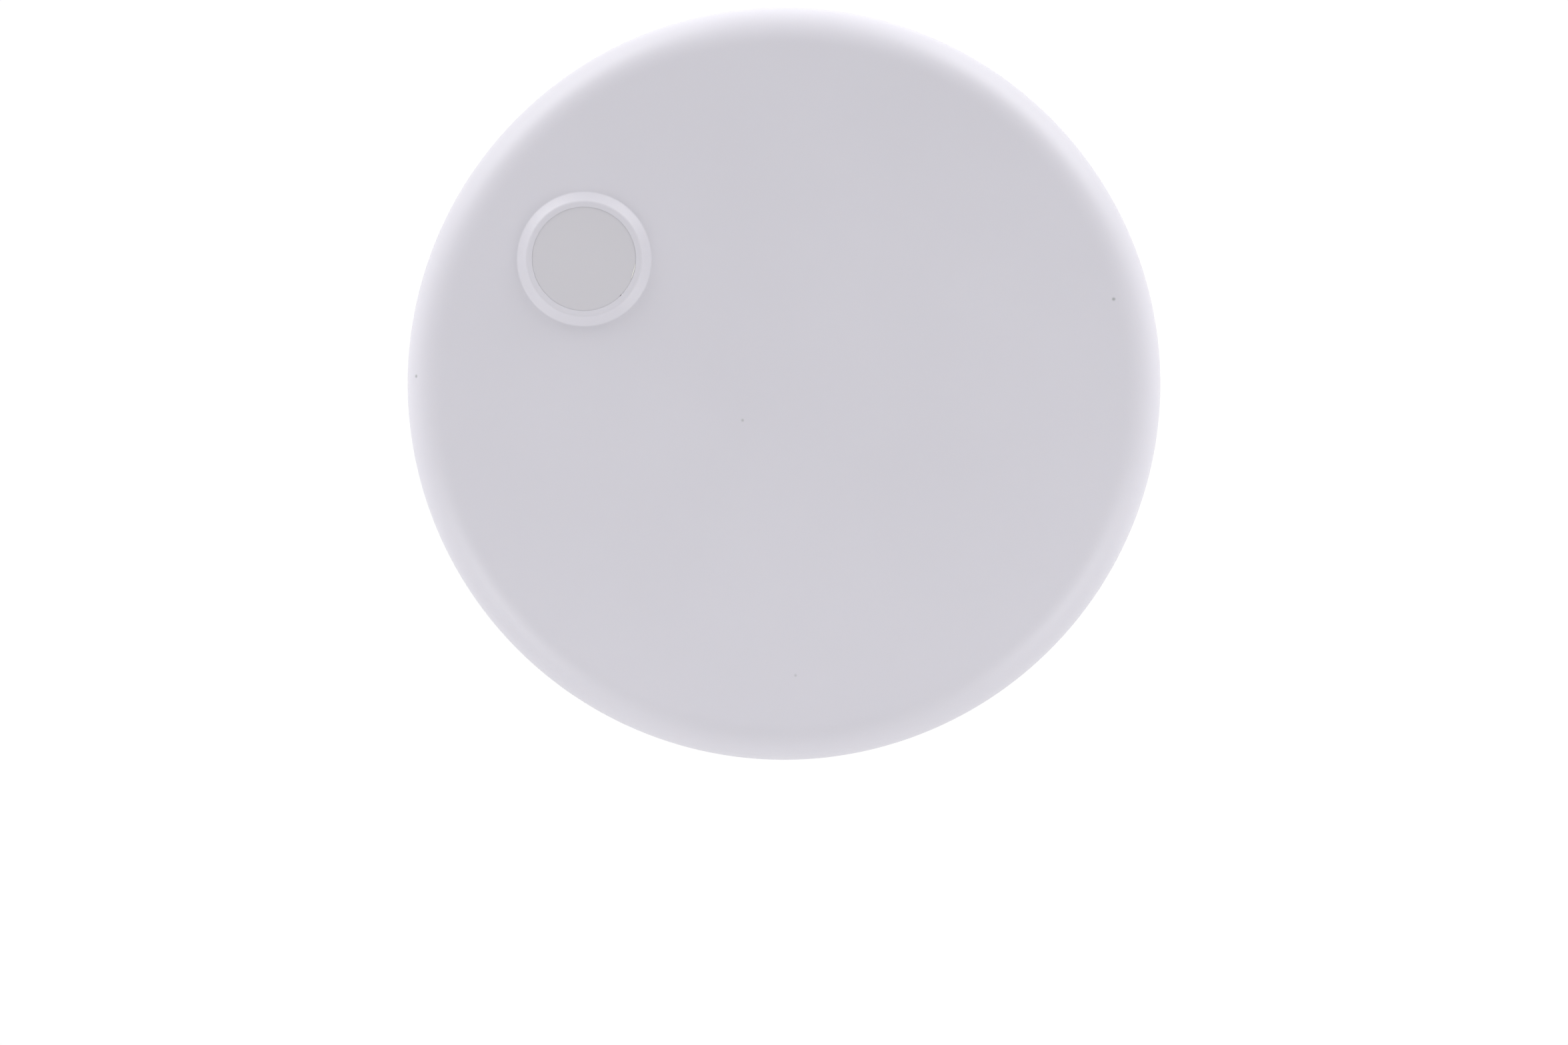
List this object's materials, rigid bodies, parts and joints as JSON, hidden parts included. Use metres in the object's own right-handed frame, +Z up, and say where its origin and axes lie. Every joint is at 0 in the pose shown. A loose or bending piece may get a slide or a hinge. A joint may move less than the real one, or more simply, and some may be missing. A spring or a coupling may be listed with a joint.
{
  "type": "indoor weather station",
  "caption": "Round white wall-hung indoor weather station: a flat puck with a push button in a raised lip, a display behind its face, and a battery door at the back.",
  "frame": {"origin": "centre of the flat back face, in the plane of the wall that it hangs on", "axes": "+Z up as hung, -Y out of the wall towards the viewer through the front face, +X to the viewer's right"},
  "size_m": [0.07, 0.0227, 0.07],
  "materials": {
    "case_plastic": "fine spark-eroded moulded ABS, off-white",
    "door_plastic": "fine spark-eroded moulded ABS, off-white",
    "button_plastic": "smooth moulded ABS, neutral light grey-white",
    "grid_plastic": "matte white moulded polycarbonate",
    "film": "milky polyester diffuser film",
    "switch_plastic": "black glass-filled nylon",
    "plunger_plastic": "natural nylon",
    "tin": "tin-plated sheet steel",
    "spring_steel": "nickel-plated spring steel",
    "screw_steel": "zinc-plated steel, black-passivated recess",
    "laminate": "green solder mask over glass-epoxy laminate",
    "lamp": "clear epoxy over phosphor",
    "package": "black moulded epoxy",
    "ceramic": "fired ceramic with tinned ends",
    "foam": "closed-cell foam, fine grained",
    "membrane": "expanded PTFE dust membrane",
    "cell_can": "nickel-plated deep-drawn can",
    "cell_sleeve": "printed shrink sleeve, plain dark with a copper band",
    "capacitor": "lacquered deep-drawn aluminium"
  },
  "bodies": {
    "station": {"front_cover": "case_plastic", "rear_housing": "case_plastic", "light_grid": "grid_plastic", "diffuser_film": "film", "display_lamps": "lamp", "display_driver": "package", "main_board": "laminate", "radio_board": "laminate", "radio_shield": "tin", "radio_chip": "package", "clock_crystal": "tin", "chip_antenna": "ceramic", "board_passives": "ceramic", "reservoir_capacitor": "capacitor", "air_sensor": "package", "sensor_gasket": "foam", "dust_filter": "membrane", "switch_base": "switch_plastic", "switch_cover": "tin", "switch_legs": "tin", "left_cell_can": "cell_can", "left_cell_sleeve": "cell_sleeve", "right_cell_can": "cell_can", "right_cell_sleeve": "cell_sleeve", "positive_contact": "spring_steel", "negative_contact": "spring_steel", "bridge_contact": "spring_steel", "top_spring": "spring_steel", "bottom_spring": "spring_steel", "case_screws": "screw_steel"},
    "button": {"button_cap": "button_plastic"},
    "plunger": {"switch_plunger": "plunger_plastic"},
    "door": {"battery_door": "door_plastic"}
  },
  "joints": [
    {"name": "button_press", "type": "slide", "parent": "station", "child": "button", "axis": [0, 1, 0], "range_m": [0, 0.0003], "stiffness_N_per_m": 400, "springref_m": -0.0005},
    {"name": "plunger_press", "type": "slide", "parent": "station", "child": "plunger", "axis": [0, 1, 0], "range_m": [0, 0.0003]},
    {"name": "door_slide", "type": "slide", "parent": "station", "child": "door", "axis": [0, 0, -1], "range_m": [0, 0.06]}
  ],
  "couplings": [
    {"joint": "plunger_press", "follows": "button_press", "ratio": 1}
  ]
}
